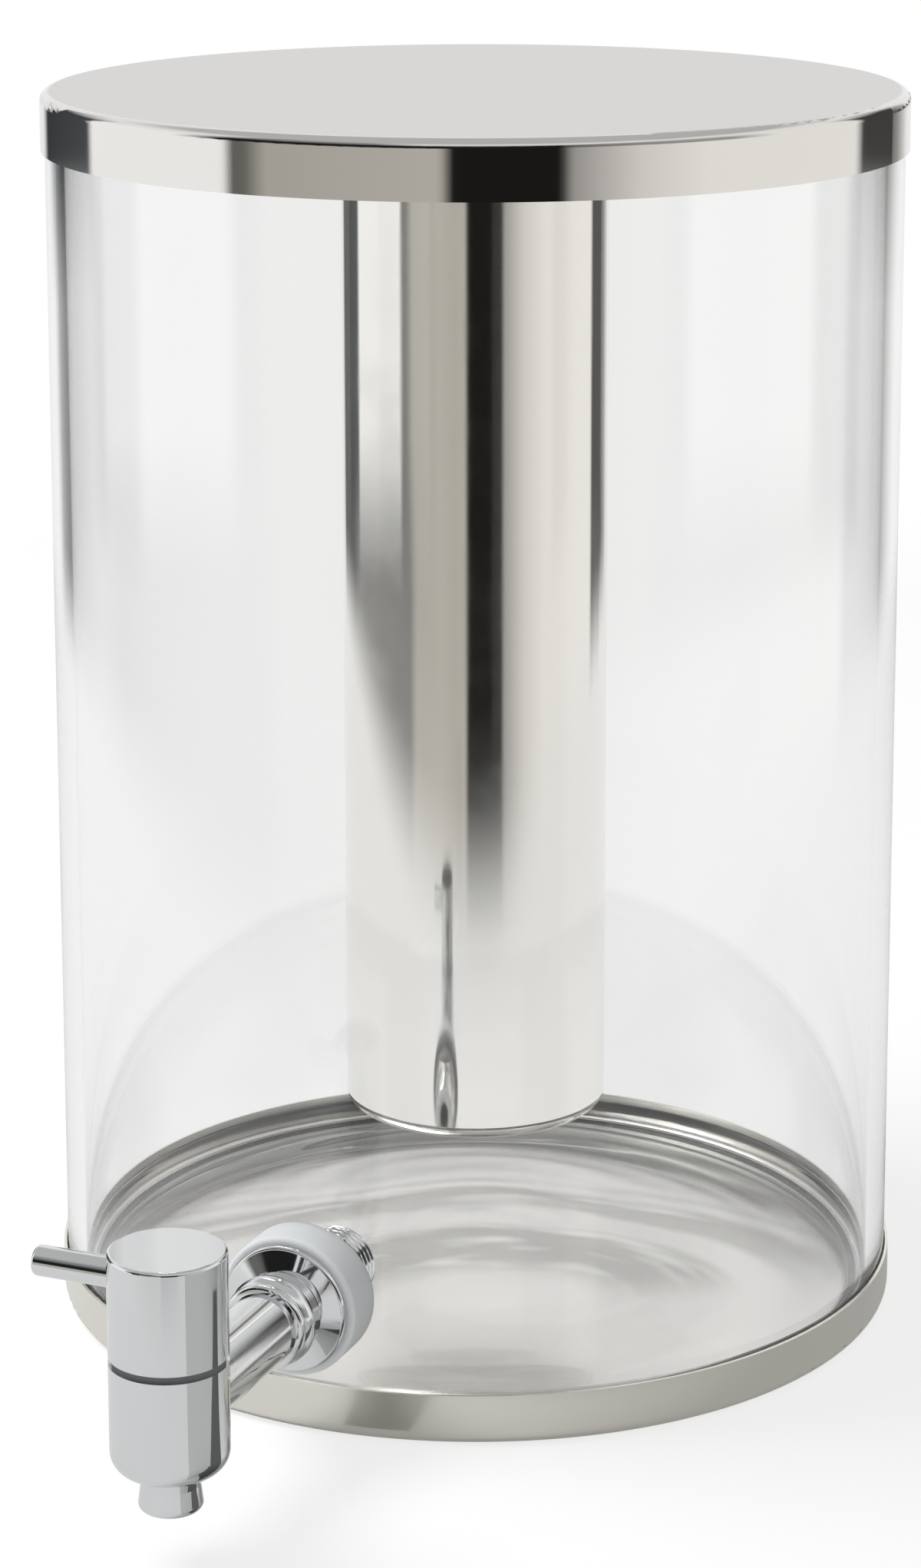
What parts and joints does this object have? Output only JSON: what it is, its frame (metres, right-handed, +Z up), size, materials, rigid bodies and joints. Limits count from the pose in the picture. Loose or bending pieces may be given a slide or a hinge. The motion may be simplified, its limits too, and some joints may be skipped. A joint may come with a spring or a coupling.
{
  "type": "juice dispenser",
  "caption": "Straight glass drink dispenser in a steel base cup, with a flat steel lid, an ice tube screwed under the lid and a chrome quarter-turn tap near its foot.",
  "frame": {"origin": "on the jar's axis at the underside of the base cup, which stands on the table", "axes": "+Z up along the jar's axis, the tap points to -Y and its lever to -X when closed"},
  "size_m": [0.185, 0.2577, 0.268],
  "materials": {
    "satin_steel": "satin",
    "polished_steel": "polished",
    "chrome": "polished",
    "glass": "clear",
    "white_silicone": "satin",
    "clear_silicone": "satin",
    "dark_plastic": "matte",
    "white_plastic": "satin",
    "black_rubber": "matte"
  },
  "bodies": {
    "jar": {"base_cup": "satin_steel", "base_pad": "clear_silicone", "glass_jar": "glass", "tap_body": "chrome", "tap_shank": "chrome", "tap_flange": "chrome", "outer_gasket": "white_silicone", "inner_gasket": "white_silicone", "nut_washer": "satin_steel", "lock_nut": "polished_steel", "seat_ring": "white_silicone", "gland_ring": "satin_steel", "split_washer": "dark_plastic", "spout": "chrome"},
    "knob": {"valve_plug": "white_plastic", "plug_seals": "black_rubber", "tap_knob": "chrome", "lever": "chrome"},
    "lid": {"lid_shell": "polished_steel", "lid_seal": "clear_silicone", "tube_socket": "satin_steel"},
    "tube_seal": {"tube_gasket": "white_silicone"},
    "tube": {"ice_tube": "polished_steel", "tube_bottom": "polished_steel", "tube_neck": "satin_steel"}
  },
  "joints": [
    {"name": "tap_turn", "type": "hinge", "parent": "jar", "child": "knob", "pos_m": [0, -0.1536, 0.0409], "axis": [0, 0, 1], "range_deg": [0, 90]},
    {"name": "lid_lift", "type": "slide", "parent": "jar", "child": "lid", "axis": [0, 0, 1], "range_m": [0, 0.24]},
    {"name": "tube_drop", "type": "slide", "parent": "lid", "child": "tube_seal", "axis": [0, 0, 1], "range_m": [-0.006, 0]},
    {"name": "tube_turn", "type": "hinge", "parent": "tube_seal", "child": "tube", "pos_m": [0, 0, 0.2614], "axis": [0, 0, 1], "range_deg": [-540, 0]}
  ],
  "couplings": [
    {"joint": "tube_drop", "follows": "tube_turn", "m_per_rad": 0.00063662}
  ]
}
